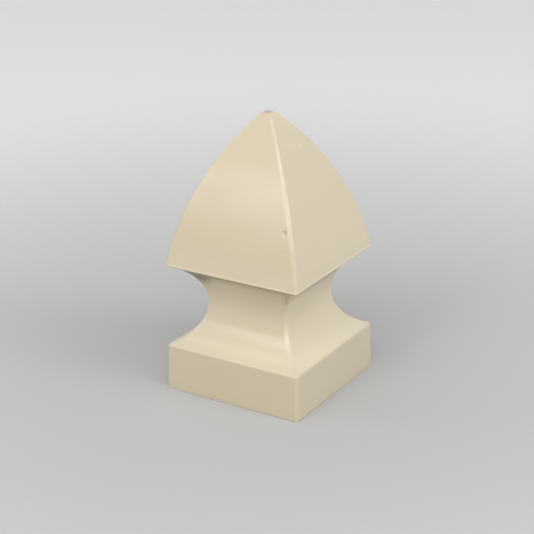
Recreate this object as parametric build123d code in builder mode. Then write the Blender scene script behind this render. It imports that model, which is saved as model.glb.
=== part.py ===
import os
from math import atan2, cos, degrees, radians, sin, sqrt

from build123d import *

os.makedirs("parts", exist_ok=True)

# Gothic post cap: one moulded shell of solid-coloured vinyl.
# A square base band drops over a square fence post, a hollow-sided (coved)
# neck stands on it, and a four-sided head with bowed faces rises to a blunt
# tip. Every horizontal section is a square with rounded corners.
# Origin: centre of the bottom rim. +Z points up to the tip.

# ---------------------------------------------------------------- dimensions
BAND_FOOT_HALF = 54.2      # half width at the bottom rim
BAND_TOP_HALF = 53.5       # half width at the top edge of the band (draft)

COVE_RADIUS = 31.9         # hollow of the neck, one circular arc
COVE_CENTRE = (64.3, 63.7)  # (half width, height) of the arc's centre

HEAD_RADIUS = 201.6        # bow of the head's faces, one circular arc
HEAD_CENTRE = (-146.3, 64.2)

TOTAL_HEIGHT = 199.0       # bottom rim to the small flat at the tip

ARRIS_RADIUS = 2.8         # upright corners of the band, neck and head
BAND_EDGE_RADIUS = 2.2     # top edge of the band
LIP_RADIUS = 1.6           # lower edge of the head
TIP_EDGE_RADIUS = 5.5      # round-over of the blunt tip

WALL = 2.5                 # wall of the shell, square to the surface
MOUTH_LEAD = 0.8           # small lead-in inside the bottom rim

SLICES = 17                # sections along each curved run

# ------------------------------------------------------------ derived points
# the neck's arc starts on the top edge of the band
BAND_HEIGHT = COVE_CENTRE[1] - sqrt(
    COVE_RADIUS**2 - (COVE_CENTRE[0] - BAND_TOP_HALF) ** 2
)


def meet(centre_a, radius_a, centre_b, radius_b):
    """Upper crossing point of two circles in the (half width, height) plane."""
    dx = centre_b[0] - centre_a[0]
    dz = centre_b[1] - centre_a[1]
    gap = sqrt(dx * dx + dz * dz)
    along = (radius_a**2 - radius_b**2 + gap * gap) / (2 * gap)
    off = sqrt(radius_a**2 - along**2)
    mid = (centre_a[0] + along * dx / gap, centre_a[1] + along * dz / gap)
    one = (mid[0] + off * dz / gap, mid[1] - off * dx / gap)
    two = (mid[0] - off * dz / gap, mid[1] + off * dx / gap)
    return one if one[1] > two[1] else two


def on_arc(centre, radius, height, side):
    """Half width of a circle at a height; side is +1 for its outer flank."""
    return centre[0] + side * sqrt(radius**2 - (height - centre[1]) ** 2)


# lower edge of the head, where the neck's arc meets the head's arc
LIP_HALF, LIP_HEIGHT = meet(COVE_CENTRE, COVE_RADIUS, HEAD_CENTRE, HEAD_RADIUS)
TIP_HALF = on_arc(HEAD_CENTRE, HEAD_RADIUS, TOTAL_HEIGHT, 1)
WAIST_HALF = COVE_CENTRE[0] - COVE_RADIUS

# inside: the same profile moved in by the wall
IN_COVE_RADIUS = COVE_RADIUS + WALL
IN_HEAD_RADIUS = HEAD_RADIUS - WALL
IN_LIP_HALF, IN_LIP_HEIGHT = meet(
    COVE_CENTRE, IN_COVE_RADIUS, HEAD_CENTRE, IN_HEAD_RADIUS
)
IN_TOP_HEIGHT = TOTAL_HEIGHT - 2.0 * WALL
IN_TIP_HALF = on_arc(HEAD_CENTRE, IN_HEAD_RADIUS, IN_TOP_HEIGHT, 1)
IN_FOOT_HALF = BAND_FOOT_HALF - WALL
IN_BAND_HALF = BAND_TOP_HALF - WALL
IN_BAND_HEIGHT = COVE_CENTRE[1] - sqrt(
    IN_COVE_RADIUS**2 - (COVE_CENTRE[0] - IN_BAND_HALF) ** 2
)


def arc_heights(centre, radius, low, high, side, count):
    """Heights at even angles along an arc, its two ends exact."""
    a = atan2(low[1] - centre[1], low[0] - centre[0])
    b = atan2(high[1] - centre[1], high[0] - centre[0])
    if side < 0:
        a, b = a % radians(360), b % radians(360)
    out = []
    for i in range(count):
        t = a + (b - a) * i / (count - 1)
        out.append((centre[0] + radius * cos(t), centre[1] + radius * sin(t)))
    return out


COVE_RUN = arc_heights(
    COVE_CENTRE, COVE_RADIUS, (BAND_TOP_HALF, BAND_HEIGHT),
    (LIP_HALF, LIP_HEIGHT), -1, SLICES,
)
HEAD_RUN = arc_heights(
    HEAD_CENTRE, HEAD_RADIUS, (LIP_HALF, LIP_HEIGHT),
    (TIP_HALF, TOTAL_HEIGHT), 1, SLICES,
)

# ---------------------------------------------------------------- the hollow
# One closed solid for the space inside: half of its outline is drawn once,
# run through along Y and along X, and only what both have in common is kept,
# which mitres the corners.
with BuildLine() as hollow_outline:
    Line((0, -5), (IN_FOOT_HALF + MOUTH_LEAD, -5))
    Line((IN_FOOT_HALF + MOUTH_LEAD, -5), (IN_FOOT_HALF + MOUTH_LEAD, 0))
    Line((IN_FOOT_HALF + MOUTH_LEAD, 0), (IN_FOOT_HALF, 2 * MOUTH_LEAD))
    Line((IN_FOOT_HALF, 2 * MOUTH_LEAD), (IN_BAND_HALF, IN_BAND_HEIGHT))
    ThreePointArc(
        (IN_BAND_HALF, IN_BAND_HEIGHT),
        (COVE_CENTRE[0] - IN_COVE_RADIUS, COVE_CENTRE[1]),
        (IN_LIP_HALF, IN_LIP_HEIGHT),
    )
    ThreePointArc(
        (IN_LIP_HALF, IN_LIP_HEIGHT),
        (on_arc(HEAD_CENTRE, IN_HEAD_RADIUS, 150, 1), 150),
        (IN_TIP_HALF, IN_TOP_HEIGHT),
    )
    Line((IN_TIP_HALF, IN_TOP_HEIGHT), (0, IN_TOP_HEIGHT))
    Line((0, IN_TOP_HEIGHT), (0, -5))

with BuildPart() as hollow:
    with BuildSketch(Plane.XZ) as hollow_front:
        add(hollow_outline.line)
        make_face()
        mirror(about=Plane.YZ)
    extrude(amount=BAND_FOOT_HALF + 10, both=True)
    with BuildSketch(Plane.YZ) as hollow_side:
        add(hollow_outline.line)
        make_face()
        mirror(about=Plane.YZ)
    extrude(amount=BAND_FOOT_HALF + 10, both=True, mode=Mode.INTERSECT)

# ------------------------------------------------------------------- the cap
with BuildPart() as post_cap:
    # base band, drafted from the rim up to its top edge
    with BuildSketch(Plane.XY) as band_foot:
        RectangleRounded(2 * BAND_FOOT_HALF, 2 * BAND_FOOT_HALF, ARRIS_RADIUS)
    with BuildSketch(Plane.XY.offset(BAND_HEIGHT)) as band_top:
        RectangleRounded(2 * BAND_TOP_HALF, 2 * BAND_TOP_HALF, ARRIS_RADIUS)
    loft(ruled=True)

    # coved neck
    neck_sections = []
    for half, height in COVE_RUN:
        with BuildSketch(Plane.XY.offset(height), mode=Mode.PRIVATE) as section:
            RectangleRounded(2 * half, 2 * half, ARRIS_RADIUS)
        neck_sections.append(section.sketch.faces()[0])
    loft(sections=neck_sections)

    # bowed head
    head_sections = []
    for half, height in HEAD_RUN:
        with BuildSketch(Plane.XY.offset(height), mode=Mode.PRIVATE) as section:
            RectangleRounded(2 * half, 2 * half, ARRIS_RADIUS)
        head_sections.append(section.sketch.faces()[0])
    loft(sections=head_sections)

    # eased edges: top of the band, lower edge of the head, flat of the tip
    band_edges = [
        e for e in post_cap.edges()
        if abs(e.bounding_box().min.Z - BAND_HEIGHT) < 0.01
        and abs(e.bounding_box().max.Z - BAND_HEIGHT) < 0.01
    ]
    fillet(band_edges, radius=BAND_EDGE_RADIUS)
    lip_edges = [
        e for e in post_cap.edges()
        if abs(e.bounding_box().min.Z - LIP_HEIGHT) < 0.01
        and abs(e.bounding_box().max.Z - LIP_HEIGHT) < 0.01
    ]
    fillet(lip_edges, radius=LIP_RADIUS)
    tip_edges = [
        e for e in post_cap.edges()
        if abs(e.bounding_box().min.Z - TOTAL_HEIGHT) < 0.01
        and abs(e.bounding_box().max.Z - TOTAL_HEIGHT) < 0.01
    ]
    fillet(tip_edges, radius=TIP_EDGE_RADIUS)

    # hollow inside, open at the bottom
    add(hollow.part, mode=Mode.SUBTRACT)

post_cap.part.label = "post_cap"
export_step(post_cap.part, "parts/post_cap.step")

print("band height      %.2f" % BAND_HEIGHT)
print("waist width      %.2f at %.2f" % (2 * WAIST_HALF, COVE_CENTRE[1]))
print("head lower edge  %.2f wide at %.2f" % (2 * LIP_HALF, LIP_HEIGHT))
print("tip flat         %.2f wide at %.2f" % (2 * TIP_HALF, TOTAL_HEIGHT))
print("mouth            %.2f, %.2f at the band's top" % (2 * IN_FOOT_HALF, 2 * IN_BAND_HALF))
print("inside           band %.2f, lip %.2f at %.2f, tip %.2f at %.2f" % (
    IN_BAND_HEIGHT, IN_LIP_HALF, IN_LIP_HEIGHT, IN_TIP_HALF, IN_TOP_HEIGHT))
print("hollow           %.1f cm3" % (hollow.part.volume / 1000))
print("volume           %.1f cm3" % (post_cap.part.volume / 1000))
print("solids", len(post_cap.part.solids()), "valid", post_cap.part.is_valid)
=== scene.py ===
import math

import bpy
import numpy as np
from mathutils import Matrix, Vector


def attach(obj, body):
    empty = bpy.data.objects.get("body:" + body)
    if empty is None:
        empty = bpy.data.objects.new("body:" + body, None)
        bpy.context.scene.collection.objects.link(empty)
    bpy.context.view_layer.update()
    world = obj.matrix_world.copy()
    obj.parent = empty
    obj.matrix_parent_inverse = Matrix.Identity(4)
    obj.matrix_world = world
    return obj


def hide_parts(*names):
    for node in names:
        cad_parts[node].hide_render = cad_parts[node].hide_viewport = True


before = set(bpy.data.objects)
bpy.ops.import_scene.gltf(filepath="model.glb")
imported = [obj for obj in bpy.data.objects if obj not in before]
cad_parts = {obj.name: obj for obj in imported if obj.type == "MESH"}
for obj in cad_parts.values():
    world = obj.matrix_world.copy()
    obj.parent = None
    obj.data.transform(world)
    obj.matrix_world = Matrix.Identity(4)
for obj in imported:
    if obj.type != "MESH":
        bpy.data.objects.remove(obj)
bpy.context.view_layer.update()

MM = 0.001

# ---------------------------------------------------------------------------
# Dimensions of the cap, in millimetres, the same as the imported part's
# ---------------------------------------------------------------------------
FOOT_HALF = 54.2
BAND_HALF = 53.5
COVE_C, COVE_R = (64.3, 63.7), 31.9
HEAD_C, HEAD_R = (-146.3, 64.2), 201.6
HEIGHT = 199.0
ARRIS = 2.8
ARRIS_TOP = 1.7
BAND_EDGE = 2.2
LIP_EDGE = 1.1
TIP_EDGE = 5.5
WALL = 2.5
LEAD = 0.8
BAND_H = COVE_C[1] - math.sqrt(COVE_R**2 - (COVE_C[0] - BAND_HALF) ** 2)


def cross_point(ca, ra, cb, rb, near):
    """The crossing of two circles that lies nearest to a point."""
    ca, cb = np.array(ca, float), np.array(cb, float)
    gap = np.hypot(*(cb - ca))
    along = (ra * ra - rb * rb + gap * gap) / (2 * gap)
    off = math.sqrt(max(ra * ra - along * along, 0.0))
    mid = ca + along * (cb - ca) / gap
    side = np.array([-(cb - ca)[1], (cb - ca)[0]]) / gap
    return min((mid + off * side, mid - off * side), key=lambda p: np.hypot(*(p - np.array(near))))


def arc_between(centre, radius, start, stop, step, least=3):
    """Points on an arc from start to stop, about step millimetres apart."""
    a = math.atan2(start[1] - centre[1], start[0] - centre[0])
    b = math.atan2(stop[1] - centre[1], stop[0] - centre[0])
    turn = (b - a + math.pi) % (2 * math.pi) - math.pi
    count = max(least, int(abs(turn) * radius / step) + 1)
    t = a + turn * np.linspace(0, 1, count + 1)
    return np.c_[centre[0] + radius * np.cos(t), centre[1] + radius * np.sin(t)]


def head_rows(centre, radius, start, stop):
    """Points up the side of the head, closer together where it has small marks."""
    heights = [start[1]]
    while heights[-1] < stop[1] - 0.3:
        z = heights[-1]
        fine = 118.0 < z < 136.0 or 173.0 < z < 184.5
        heights.append(min(z + (0.5 if fine else 1.5), stop[1]))
    z = np.array(heights)
    return np.c_[centre[0] + np.sqrt(radius**2 - (z - centre[1]) ** 2), z]


def cove_rows(centre, radius, start, stop):
    """Points up the hollow of the neck, closer together at its two faint lines."""
    a = math.atan2(start[1] - centre[1], start[0] - centre[0]) % (2 * math.pi)
    b = math.atan2(stop[1] - centre[1], stop[0] - centre[0]) % (2 * math.pi)
    turns = [a]
    while turns[-1] > b + 0.15 / radius:
        z = centre[1] + radius * math.sin(turns[-1])
        fine = 45.8 < z < 51.0 or 70.6 < z < 76.2
        turns.append(max(turns[-1] - (0.45 if fine else 1.5) / radius, b))
    t = np.array(turns)
    return np.c_[centre[0] + radius * np.cos(t), centre[1] + radius * np.sin(t)]


def line_between(start, stop, step, least=2):
    count = max(least, int(math.hypot(stop[0] - start[0], stop[1] - start[1]) / step))
    t = np.linspace(0, 1, count + 1)[:, None]
    return np.array(start, float) * (1 - t) + np.array(stop, float) * t


def outer_profile():
    """(half width, height, corner radius) of each section, from the rim to the flat of the tip."""
    cc, hc = np.array(COVE_C), np.array(HEAD_C)

    def band_half(z):
        return FOOT_HALF + (BAND_HALF - FOOT_HALF) * z / BAND_H

    # eased top edge of the band
    low, high = BAND_H - 12.0, BAND_H + 3.0
    for _ in range(60):
        z = (low + high) / 2
        if math.hypot(band_half(z) - BAND_EDGE - cc[0], z - cc[1]) > COVE_R + BAND_EDGE:
            low = z
        else:
            high = z
    f1 = np.array([band_half(z) - BAND_EDGE, z])
    t1a, t1b = f1 + [BAND_EDGE, 0], cc + (f1 - cc) * COVE_R / (COVE_R + BAND_EDGE)
    # eased lower edge of the head
    lip = cross_point(cc, COVE_R, hc, HEAD_R, (53, 93))
    f2 = cross_point(cc, COVE_R + LIP_EDGE, hc, HEAD_R - LIP_EDGE, lip - [LIP_EDGE, -LIP_EDGE])
    t2a = cc + (f2 - cc) * COVE_R / (COVE_R + LIP_EDGE)
    t2b = hc + (f2 - hc) * HEAD_R / (HEAD_R - LIP_EDGE)
    # rounded tip
    f3z = HEIGHT - TIP_EDGE
    f3 = np.array([hc[0] + math.sqrt((HEAD_R - TIP_EDGE) ** 2 - (f3z - hc[1]) ** 2), f3z])
    t3a = hc + (f3 - hc) * HEAD_R / (HEAD_R - TIP_EDGE)
    t3b = np.array([f3[0], HEIGHT])

    runs = [
        arc_between((FOOT_HALF - 0.35, 0.35), 0.35, (FOOT_HALF - 0.35, 0.0), (FOOT_HALF, 0.35), 0.2, 3),
        line_between((FOOT_HALF, 0.35), t1a, 1.7)[1:],
        arc_between(f1, BAND_EDGE, t1a, t1b, 0.35)[1:],
        cove_rows(cc, COVE_R, t1b, t2a)[1:],
        arc_between(f2, LIP_EDGE, t2a, t2b, 0.3)[1:],
        head_rows(hc, HEAD_R, t2b, t3a)[1:],
        arc_between(f3, TIP_EDGE, t3a, t3b, 0.45)[1:],
    ]
    pts = np.vstack(runs)
    w, z = pts[:, 0], pts[:, 1]
    radius = ARRIS - (ARRIS - ARRIS_TOP) * np.clip((z - 148.0) / 34.0, 0, 1)
    in_tip = z > t3a[1]
    sharp = hc[0] + np.sqrt(np.maximum(HEAD_R**2 - (z - hc[1]) ** 2, 0))
    radius[in_tip] = np.maximum(ARRIS_TOP - (sharp - w)[in_tip], 0.35)
    return np.c_[w, z, radius]


def inner_profile():
    """The same for the hollow, from the rim up to its ceiling. It runs a wall's thickness inside."""
    cc, hc = np.array(COVE_C), np.array(HEAD_C)
    ri, ro = COVE_R + WALL, HEAD_R - WALL
    foot, band = FOOT_HALF - WALL, BAND_HALF - WALL
    band_h = cc[1] - math.sqrt(ri**2 - (cc[0] - band) ** 2)
    lip = cross_point(cc, ri, hc, ro, (50, 95))
    top = HEIGHT - 2 * WALL
    tip = np.array([hc[0] + math.sqrt(ro**2 - (top - hc[1]) ** 2), top])
    runs = [
        line_between((foot + LEAD, 0), (foot, 2 * LEAD), 0.6),
        line_between((foot, 2 * LEAD), (band, band_h), 5.0)[1:],
        arc_between(cc, ri, (band, band_h), lip, 5.0)[1:],
        arc_between(hc, ro, lip, tip, 8.0)[1:],
    ]
    pts = np.vstack(runs)
    return np.c_[pts, np.full(len(pts), 0.6)]


# ---------------------------------------------------------------------------
# Mesh: rounded-square sections joined into one closed shell
# ---------------------------------------------------------------------------
SIDE = 64       # divisions along a side
CORNER = 16     # divisions round a corner
_t = np.linspace(-1, 1, SIDE + 1)
SPREAD = 0.36 * _t + 0.64 * np.sin(_t * math.pi / 2)
SIDES = [((1, 0), (0, -1)), ((0, 1), (1, 0)), ((-1, 0), (0, 1)), ((0, -1), (-1, 0))]
RING = 4 * (SIDE + CORNER)


def ring(half, radius):
    """One section as a loop of points, anticlockwise from above."""
    radius = min(radius, half * 0.995)
    flat = half - radius
    out = []
    angles = np.linspace(0, math.pi / 2, CORNER + 1)[1:-1]
    for tangent, normal in SIDES:
        t, n = np.array(tangent, float), np.array(normal, float)
        out.append(np.outer(SPREAD * flat, t) + n * half)
        centre = (t + n) * flat
        out.append(centre + radius * (np.outer(np.cos(angles), n) + np.outer(np.sin(angles), t)))
    return np.vstack(out)


def shell():
    """Vertices in millimetres, quads and triangles of the closed shell, and which vertices are outside."""
    outer, inner = outer_profile(), inner_profile()
    verts, faces, rows = [], [], []

    def add_row(points, z):
        start = sum(len(v) for v in verts)
        verts.append(np.c_[points, np.full(len(points), z)])
        rows.append(start)
        return start

    def join(a, b, outward=True):
        for j in range(RING):
            k = (j + 1) % RING
            quad = (a + j, a + k, b + k, b + j)
            faces.append(quad if outward else quad[::-1])

    first = previous = None
    for half, z, radius in outer:
        row = add_row(ring(half, radius), z)
        if previous is not None:
            join(previous, row)
        first = row if first is None else first
        previous = row
    # flat of the tip
    half, _, radius = outer[-1]
    for share in (0.92, 0.84, 0.76, 0.68, 0.58, 0.46, 0.34, 0.24, 0.16, 0.08):
        row = add_row(ring(half, radius) * share, HEIGHT)
        join(previous, row)
        previous = row
    centre = add_row(np.array([[0.0, 0.0]]), HEIGHT)
    faces.extend((previous + j, previous + (j + 1) % RING, centre) for j in range(RING))
    outside_count = centre + 1

    # bottom rim and the hollow
    previous = None
    for half, z, radius in inner:
        row = add_row(ring(half, radius), z)
        join(first if previous is None else previous, row, outward=False)
        previous = row
    half, top, radius = inner[-1]
    for share in (0.66, 0.33):
        row = add_row(ring(half, radius) * share, top)
        join(previous, row, outward=False)
        previous = row
    centre = add_row(np.array([[0.0, 0.0]]), top)
    faces.extend((previous + (j + 1) % RING, previous + j, centre) for j in range(RING))
    return np.vstack(verts), faces, outside_count


def vertex_normals(co, faces):
    quads = np.array([f for f in faces if len(f) == 4])
    tris = np.array([f for f in faces if len(f) == 3])
    out = np.zeros_like(co)
    n4 = np.cross(co[quads[:, 2]] - co[quads[:, 0]], co[quads[:, 3]] - co[quads[:, 1]])
    n3 = np.cross(co[tris[:, 1]] - co[tris[:, 0]], co[tris[:, 2]] - co[tris[:, 0]])
    for k in range(4):
        np.add.at(out, quads[:, k], n4)
    for k in range(3):
        np.add.at(out, tris[:, k], n3)
    return out / np.maximum(np.linalg.norm(out, axis=1, keepdims=True), 1e-12)


def smooth_step(x, low, high):
    t = np.clip((x - low) / (high - low), 0, 1)
    return t * t * (3 - 2 * t)


def relief(co):
    """Height of the moulding's small unevenness along the surface normal, in millimetres."""
    x, y, z = co.T
    reach = np.maximum(np.abs(x), np.abs(y))
    # how far from the nearest arris, along the face
    away = reach - np.minimum(np.abs(x), np.abs(y))
    face = np.select(
        [(-y >= np.abs(x)), (x >= np.abs(y)), (y >= np.abs(x))], [0, 1, 2], 3
    )
    along = np.select([face == 0, face == 1, face == 2], [x, y, -x], -y)
    d = np.zeros(len(co))

    # each face of the head is a little uneven, as a cooled moulding is
    calm = smooth_step(away, 1.0, 12.0)
    head = smooth_step(z, 95.0, 104.0) * (1 - smooth_step(z, 182.0, 195.0))
    phase = face * 1.9
    d += head * calm * (
        0.030 * np.sin(along * 0.115 + z * 0.060 + phase)
        + 0.022 * np.sin(along * 0.071 - z * 0.131 + 2.1 * phase + 0.7)
        - 0.035
    )
    # walls of the band sink slightly between their edges
    band = smooth_step(z, 2.0, 9.0) * (1 - smooth_step(z, 24.0, 31.0))
    d -= band * smooth_step(away, 2.0, 26.0) * (
        0.10 + 0.02 * np.sin(along * 0.083 + phase)
    )
    # neck
    neck = smooth_step(z, 40.0, 50.0) * (1 - smooth_step(z, 78.0, 88.0))
    d += neck * smooth_step(away, 1.0, 9.0) * 0.018 * np.sin(along * 0.17 + z * 0.09 + phase)
    # two faint lines run round it, where one curve of the moulding passes into the next
    d += 0.150 * np.exp(-(((z - 73.4) / 0.90) ** 2)) + 0.035 * np.exp(-(((z - 48.4) / 1.0) ** 2))
    # a short crease beside the front arris, in the upper part of the hollow
    crease = smooth_step(z, 66.0, 71.0) * (1 - smooth_step(z, 82.0, 87.0)) * (face == 0) * (x > 0)
    d -= 0.26 * np.exp(-(((away - 2.2) / 0.80) ** 2)) * crease
    # the lower lip of the head has a slight burr
    d += 0.050 * np.exp(-(((z - 94.7) / 0.6) ** 2)) * (reach > 50.0)

    # parting line of the mould along each arris: a fine groove on the head, a fine bead below and above it
    at_arris = smooth_step(reach, 3.2, 6.0) * smooth_step(z, 0.8, 2.5)
    grooved = smooth_step(z, 100.0, 112.0) * (1 - smooth_step(z, 158.0, 172.0))
    d -= 0.17 * np.exp(-((away / 0.42) ** 2)) * at_arris * grooved
    top = smooth_step(z, 158.0, 172.0)
    d += 0.050 * np.exp(-((away / 0.45) ** 2)) * at_arris * (1 - grooved) * (1 - top)
    d += 0.150 * np.exp(-((away / 0.90) ** 2)) * smooth_step(reach, 1.5, 4.0) * top

    # two small dents near the front arris
    def spot(px, py, pz, size):
        return np.exp(-(((x - px) ** 2 + (y - py) ** 2 + (z - pz) ** 2) / size**2))

    d -= 0.46 * spot(38.7, -43.5, 132.1, 1.7)
    d += 0.07 * (spot(36.4, -43.4, 133.0, 1.3) + spot(38.8, -43.1, 134.9, 1.2))
    d -= 0.12 * spot(41.2, -47.3, 120.4, 1.3)

    # shallow crescent near the top of the right-hand face
    run = (y + 14.3) / 22.2
    line = 181.3 - 11.5 * run + 6.3 * run**2
    gap = (z - line) / 0.9
    d += (
        (0.110 * np.exp(-(gap**2)) - 0.040 * np.exp(-(((gap - 3.2) / 2.2) ** 2))) * smooth_step(run, -0.05, 0.1)
        * (1 - smooth_step(run, 0.9, 1.05)) * (face == 1)
    )

    # the flat of the tip is a trimmed gate: a low dish inside its edge, with a small nub left in the middle
    flat = z > HEIGHT - 0.02
    d -= 0.18 * flat * (1 - smooth_step(np.hypot(x, y), 0.55, 0.85))
    d += 0.10 * flat * (1 - smooth_step(np.hypot(x - 0.1, y + 0.1), 0.1, 0.35))
    return d


def cap_mesh():
    co, faces, outside = shell()
    normals = vertex_normals(co, faces)
    lift = relief(co)
    lift[outside:] = 0.0
    lift[co[:, 2] < 0.4] = 0.0
    moved = co + normals * lift[:, None]
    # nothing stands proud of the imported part's box
    limit = np.array([FOOT_HALF, FOOT_HALF, HEIGHT])
    moved = np.minimum(np.maximum(moved, [-FOOT_HALF, -FOOT_HALF, 0.0]), limit)
    mesh = bpy.data.meshes.new("post_cap_shell")
    mesh.from_pydata((moved * MM).tolist(), [], faces)
    mesh.polygons.foreach_set("use_smooth", [True] * len(mesh.polygons))
    mesh.update()
    mesh.validate()
    return mesh


# ---------------------------------------------------------------------------
# Materials
# ---------------------------------------------------------------------------
def vinyl():
    mat = bpy.data.materials.new("sand_vinyl")
    mat.use_nodes = True
    tree = mat.node_tree
    nodes, links = tree.nodes, tree.links
    nodes.clear()
    out = nodes.new("ShaderNodeOutputMaterial")
    bsdf = nodes.new("ShaderNodeBsdfPrincipled")
    links.new(bsdf.outputs["BSDF"], out.inputs["Surface"])
    bsdf.inputs["IOR"].default_value = 1.5
    # the skin against the mould is glossier than the vinyl under it
    bsdf.inputs["Coat Weight"].default_value = 0.5
    bsdf.inputs["Coat Roughness"].default_value = 0.06
    bsdf.inputs["Coat IOR"].default_value = 1.5

    coord = nodes.new("ShaderNodeTexCoord")
    place = coord.outputs["Object"]

    def noise(scale, detail, rough=0.5, stretch=None):
        source = place
        if stretch:
            mapping = nodes.new("ShaderNodeMapping")
            mapping.inputs["Scale"].default_value = stretch
            links.new(place, mapping.inputs["Vector"])
            source = mapping.outputs["Vector"]
        n = nodes.new("ShaderNodeTexNoise")
        n.inputs["Scale"].default_value = scale
        n.inputs["Detail"].default_value = detail
        n.inputs["Roughness"].default_value = rough
        links.new(source, n.inputs["Vector"])
        return n.outputs["Fac"]

    def ramp(source, stops):
        r = nodes.new("ShaderNodeValToRGB")
        r.color_ramp.interpolation = "EASE"
        while len(r.color_ramp.elements) < len(stops):
            r.color_ramp.elements.new(0.5)
        for e, (pos, colour) in zip(r.color_ramp.elements, stops):
            e.position = pos
            e.color = (*colour, 1.0)
        links.new(source, r.inputs["Fac"])
        return r.outputs["Color"]

    # body colour: sand, very slightly mottled
    base = ramp(noise(26.0, 3.0, 0.55), [
        (0.30, (0.608, 0.524, 0.373)),
        (0.52, (0.613, 0.529, 0.378)),
        (0.74, (0.618, 0.534, 0.383)),
    ])

    def near(centre, inside, outside):
        """1 within one distance of a point and 0 beyond another."""
        gap = nodes.new("ShaderNodeVectorMath")
        gap.operation = "DISTANCE"
        gap.inputs[1].default_value = [c * MM for c in centre]
        links.new(place, gap.inputs[0])
        fall = nodes.new("ShaderNodeMapRange")
        fall.interpolation_type = "SMOOTHSTEP"
        fall.inputs["From Min"].default_value = inside * MM
        fall.inputs["From Max"].default_value = outside * MM
        fall.inputs["To Min"].default_value = 1.0
        fall.inputs["To Max"].default_value = 0.0
        links.new(gap.outputs["Value"], fall.inputs["Value"])
        return fall.outputs["Result"]

    def tint(colour, mask, shade):
        mix = nodes.new("ShaderNodeMix")
        mix.data_type = "RGBA"
        links.new(mask, mix.inputs["Factor"])
        links.new(colour, mix.inputs["A"])
        mix.inputs["B"].default_value = (*shade, 1.0)
        return mix.outputs["Result"]

    split = nodes.new("ShaderNodeSeparateXYZ")
    links.new(place, split.inputs["Vector"])

    def between(low, high, first, last):
        """Goes from first to last over a range of heights."""
        fall = nodes.new("ShaderNodeMapRange")
        fall.interpolation_type = "SMOOTHSTEP"
        fall.inputs["From Min"].default_value = low * MM
        fall.inputs["From Max"].default_value = high * MM
        fall.inputs["To Min"].default_value = first
        fall.inputs["To Max"].default_value = last
        links.new(split.outputs["Z"], fall.inputs["Value"])
        return fall.outputs["Result"]

    def zone(rise, fall):
        """1 between two heights, and 0 outside them."""
        both = nodes.new("ShaderNodeMath")
        both.operation = "MULTIPLY"
        links.new(between(*rise, 0.0, 1.0), both.inputs[0])
        links.new(between(*fall, 1.0, 0.0), both.inputs[1])
        return both.outputs["Value"]

    # tones fixed on the object that stand in for part of its shading:
    # the hollow of the neck is lighter than the faces, and the strip under the lip of the head is darker
    base = tint(base, zone((32.8, 34.8), (80.0, 90.0)), (0.652, 0.566, 0.407))
    base = tint(base, zone((32.8, 34.8), (37.0, 50.0)), (0.662, 0.582, 0.430))
    # painted shade under the lip, reaching lower on the right-hand face
    right = nodes.new("ShaderNodeMapRange")
    right.interpolation_type = "SMOOTHSTEP"
    right.inputs["From Min"].default_value = 34.0 * MM
    right.inputs["From Max"].default_value = 36.6 * MM
    links.new(split.outputs["X"], right.inputs["Value"])
    right_end = nodes.new("ShaderNodeMath")
    right_end.operation = "MULTIPLY"
    links.new(right.outputs["Result"], right_end.inputs[0])
    links.new(zone((72.0, 79.0), (93.2, 93.7)), right_end.inputs[1])
    base = tint(base, right_end.outputs["Value"], (0.520, 0.440, 0.300))
    base = tint(base, zone((82.0, 91.0), (93.2, 93.7)), (0.450, 0.375, 0.255))
    # painted shade, darker still just under the lip all round, and darkest at the left end of the near face and in
    # the crease by the front arris
    base = tint(base, zone((86.5, 91.0), (93.2, 93.7)), (0.270, 0.205, 0.120))
    end = nodes.new("ShaderNodeMath")
    end.operation = "MULTIPLY"
    links.new(near((-35.0, -44.0, 88.5), 5.0, 17.0), end.inputs[0])
    links.new(between(92.6, 93.4, 1.0, 0.0), end.inputs[1])
    base = tint(base, end.outputs["Value"], (0.260, 0.190, 0.100))
    for place_in_crease in ((36.9, -38.7, 82.9), (36.2, -37.8, 81.3), (35.5, -36.9, 79.6), (34.9, -36.0, 78.0), (34.3, -35.2, 76.3)):
        base = tint(base, near(place_in_crease, 0.2, 1.9), (0.485, 0.408, 0.282))
    # a painted highlight along the edge of the lip, and along the crescent near the top of the right-hand face
    base = tint(base, zone((93.4, 93.8), (95.0, 96.0)), (0.690, 0.602, 0.444))
    for place_in_crescent in ((18.9, -10.5, 179.4), (19.5, -7.6, 178.5), (20.1, -4.8, 177.7), (20.6, -1.7, 177.0), (21.1, 1.4, 176.5), (21.3, 4.6, 176.2), (21.4, 7.8, 176.1)):
        base = tint(base, near(place_in_crescent, 0.6, 2.5), (0.642, 0.556, 0.400))
    # the parting line along each arris: painted shade in its groove, and a painted highlight along it near the tip
    gaps = []
    for axis in "XY":
        size = nodes.new("ShaderNodeMath")
        size.operation = "ABSOLUTE"
        links.new(split.outputs[axis], size.inputs[0])
        gaps.append(size.outputs["Value"])
    apart = nodes.new("ShaderNodeMath")
    apart.operation = "SUBTRACT"
    links.new(gaps[0], apart.inputs[0])
    links.new(gaps[1], apart.inputs[1])
    away = nodes.new("ShaderNodeMath")
    away.operation = "ABSOLUTE"
    links.new(apart.outputs["Value"], away.inputs[0])

    def arris(inside, outside, zone_mask):
        """1 along the arrises and 0 away from them, within a zone of heights."""
        fall = nodes.new("ShaderNodeMapRange")
        fall.interpolation_type = "SMOOTHSTEP"
        fall.inputs["From Min"].default_value = inside * MM
        fall.inputs["From Max"].default_value = outside * MM
        fall.inputs["To Min"].default_value = 1.0
        fall.inputs["To Max"].default_value = 0.0
        links.new(away.outputs["Value"], fall.inputs["Value"])
        both = nodes.new("ShaderNodeMath")
        both.operation = "MULTIPLY"
        links.new(fall.outputs["Result"], both.inputs[0])
        links.new(zone_mask, both.inputs[1])
        return both.outputs["Value"]

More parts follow.
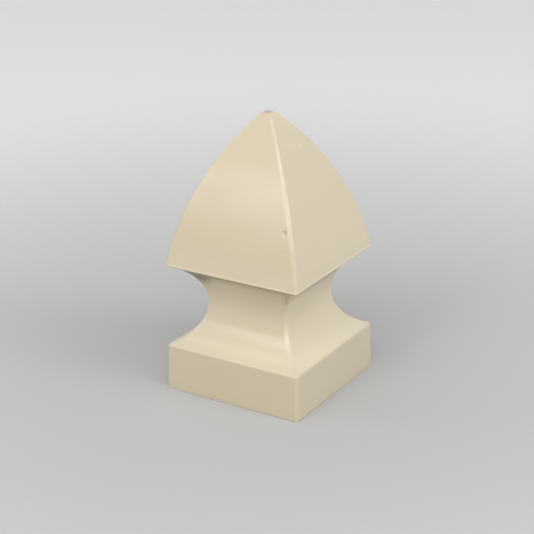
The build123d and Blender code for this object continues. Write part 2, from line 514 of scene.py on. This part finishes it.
    base = tint(base, arris(0.15, 0.75, zone((102.0, 116.0), (156.0, 170.0))), (0.510, 0.430, 0.297))
    base = tint(base, arris(0.50, 1.70, zone((158.0, 174.0), (196.0, 198.4))), (0.672, 0.586, 0.432))
    # the flat of the tip darker in its middle, and painted shade inside the two dents
    base = tint(base, near((0.0, 0.0, HEIGHT + 0.6), 2.0, 4.2), (0.455, 0.385, 0.270))
    base = tint(base, near((38.9, -43.1, 131.8), 0.3, 2.2), (0.450, 0.378, 0.260))
    base = tint(base, near((41.2, -47.2, 120.4), 0.1, 1.5), (0.555, 0.477, 0.338))
    links.new(base, bsdf.inputs["Base Color"])

    # gloss: smooth, with fine flow marks
    gloss = nodes.new("ShaderNodeMapRange")
    gloss.inputs["From Min"].default_value = 0.3
    gloss.inputs["From Max"].default_value = 0.7
    gloss.inputs["To Min"].default_value = 0.34
    gloss.inputs["To Max"].default_value = 0.40
    links.new(noise(34.0, 4.0, 0.6, (1.0, 1.0, 0.35)), gloss.inputs["Value"])
    links.new(gloss.outputs["Result"], bsdf.inputs["Roughness"])

    # faint orange peel
    bump = nodes.new("ShaderNodeBump")
    bump.inputs["Strength"].default_value = 0.05
    bump.inputs["Distance"].default_value = 0.00003
    links.new(noise(650.0, 2.0, 0.5), bump.inputs["Height"])
    links.new(bump.outputs["Normal"], bsdf.inputs["Normal"])
    return mat


FLOOR_NEAR, FLOOR_FAR = 0.50, 0.80


def plain_floor_material():
    mat = bpy.data.materials.new("pale_floor")
    mat.use_nodes = True
    tree = mat.node_tree
    bsdf = tree.nodes["Principled BSDF"]
    bsdf.inputs["Roughness"].default_value = 0.95
    bsdf.inputs["Specular IOR Level"].default_value = 0.0
    # painted shade: the sheet is a little less white under the object than far from it
    coord = tree.nodes.new("ShaderNodeTexCoord")
    far = tree.nodes.new("ShaderNodeVectorMath")
    far.operation = "LENGTH"
    tree.links.new(coord.outputs["Object"], far.inputs[0])
    tone = tree.nodes.new("ShaderNodeMapRange")
    tone.interpolation_type = "SMOOTHSTEP"
    tone.inputs["From Min"].default_value = 0.10
    tone.inputs["From Max"].default_value = 0.85
    tone.inputs["To Min"].default_value = FLOOR_NEAR
    tone.inputs["To Max"].default_value = FLOOR_FAR
    tree.links.new(far.outputs["Value"], tone.inputs["Value"])
    tree.links.new(tone.outputs["Result"], bsdf.inputs["Base Color"])
    return mat


# ---------------------------------------------------------------------------
# The cap
# ---------------------------------------------------------------------------
cap = bpy.data.objects.new("post_cap_shell", cap_mesh())
bpy.context.scene.collection.objects.link(cap)
cap.data.materials.append(vinyl())
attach(cap, "root")
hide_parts("post_cap")

# ---------------------------------------------------------------------------
# Stage
# ---------------------------------------------------------------------------
floor_mesh = bpy.data.meshes.new("floor")
floor_mesh.from_pydata([(-6, -6, 0), (6, -6, 0), (6, 6, 0), (-6, 6, 0)], [], [(0, 1, 2, 3)])
floor = bpy.data.objects.new("floor", floor_mesh)
bpy.context.scene.collection.objects.link(floor)
floor.data.materials.append(plain_floor_material())

AIM = Vector((0.0, 0.0, 0.09))
REACH = 3.0


def panel(name, azimuth, elevation, wide, tall, radiance):
    """One softbox panel. Azimuth 0 stands in front of the -Y face and turns towards +X."""
    lamp = bpy.data.lights.new(name, "AREA")
    lamp.shape = "RECTANGLE"
    lamp.size = 2 * REACH * math.tan(math.radians(wide / 2)) * max(math.cos(math.radians(elevation)), 0.25)
    lamp.size_y = 2 * REACH * math.tan(math.radians(tall / 2))
    lamp.energy = radiance * math.pi * lamp.size * lamp.size_y
    obj = bpy.data.objects.new(name, lamp)
    a, e = math.radians(azimuth), math.radians(elevation)
    obj.location = AIM + REACH * Vector(
        (math.sin(a) * math.cos(e), -math.cos(a) * math.cos(e), math.sin(e))
    )
    obj.rotation_mode = "QUATERNION"
    obj.rotation_quaternion = (AIM - obj.location).to_track_quat("-Z", "Y")
    obj.visible_camera = False
    bpy.context.scene.collection.objects.link(obj)


def column(az0, az1, edges, radiances, blend):
    """A soft light over a range of azimuth, built of panels one above the other."""
    edges = np.array(edges, float)
    centres = (edges[:-1] + edges[1:]) / 2
    for low, high, own in zip(edges[:-1], edges[1:], radiances):
        parts = max(1, round((high - low) / 2.4)) if blend else 1
        step = (high - low) / parts
        for j in range(parts):
            middle = low + (j + 0.5) * step
            radiance = float(np.interp(middle, centres, radiances)) if blend else own
            if radiance > 0.02:
                panel(f"panel_{az0}_{middle:.1f}", (az0 + az1) / 2, middle, az1 - az0, step, radiance)


# azimuth from and to, edges of the panels in elevation, radiance of each, and whether they blend
COLUMNS = [
    (-160, -125, (10, 35, 60), (0.70, 0.70), True),
    (-125, -100, (2, 14, 28, 44, 58), (0.70, 0.85, 0.70, 0.70), True),
    (-100, -78, (2, 14, 28), (0.99, 2.85), True),
    (-78, -56, (14, 28, 44, 58, 74), (1.84, 0.70, 1.19, 1.50), True),
    (-56, -36.5, (14, 28, 44, 58, 74), (2.07, 0.00, 0.00, 1.72), True),
    (-36.5, -33.8, (16, 20, 25, 31, 39, 50, 62), (0.06, 0.29, 1.52, 2.44, 0.28, 0.09), True),
    (-33.8, -29, (14, 16, 20, 25, 31, 39, 50, 62), (0.57, 1.25, 1.80, 3.30, 2.06, 0.60, 0.38), True),
    (-29, -18, (8, 12, 14, 16, 20, 25, 31, 39, 50, 62), (0.14, 0.33, 0.53, 0.98, 1.68, 2.31, 2.79, 2.35, 0.94), True),
    (-18, 0, (14, 28, 44, 62), (2.16, 5.00, 3.88), True),
    (0, 18, (14, 28, 44, 62), (0.43, 2.66, 1.78), True),
    (18, 40, (28, 44, 62), (3.90, 2.78), True),
    (40, 58, (14, 28, 44, 62), (0.13, 2.92, 2.49), True),
    (58, 80, (14, 28, 44, 62), (1.94, 1.86, 2.03), True),
    (80, 105, (2, 14, 28, 44, 62), (0.64, 4.34, 5.00, 0.98), True),
    (105, 130, (14, 28, 44), (0.30, 2.25), True),
    (130, 160, (-2, 5, 12, 20, 30, 42), (0.54, 0.62, 0.55, 0.31, 1.28), True),
    (160, 178, (2, 14, 28, 44), (0.22, 1.00, 1.22), True),
    (178, 200, (14, 28, 44), (1.00, 1.00), True),
]
for part in COLUMNS:
    column(*part)

world = bpy.data.worlds.new("studio")
world.use_nodes = True
world.node_tree.nodes["Background"].inputs["Color"].default_value = (1, 1, 1, 1)
world.node_tree.nodes["Background"].inputs["Strength"].default_value = 0.05
bpy.context.scene.world = world
bpy.context.scene.view_settings.view_transform = "Standard"

# ---------------------------------------------------------------------------
# Camera: 1.08 m away, 32 degrees round to the right and 22 degrees up
# ---------------------------------------------------------------------------
cam_data = bpy.data.cameras.new("camera")
cam_data.sensor_width = 36.0
cam_data.lens = 102.86
cam_data.clip_start, cam_data.clip_end = 0.05, 50.0
camera = bpy.data.objects.new("camera", cam_data)
bpy.context.scene.collection.objects.link(camera)
cam_right = Vector((0.851527, 0.52417, -0.012187))
cam_up = Vector((-0.186542, 0.324601, 0.927273))
cam_back = cam_right.cross(cam_up).normalized()
pose = Matrix((cam_right, cam_up, cam_back)).transposed().to_4x4()
pose.translation = Vector((0.52663, -0.85015, 0.48849))
camera.matrix_world = pose
bpy.context.scene.camera = camera
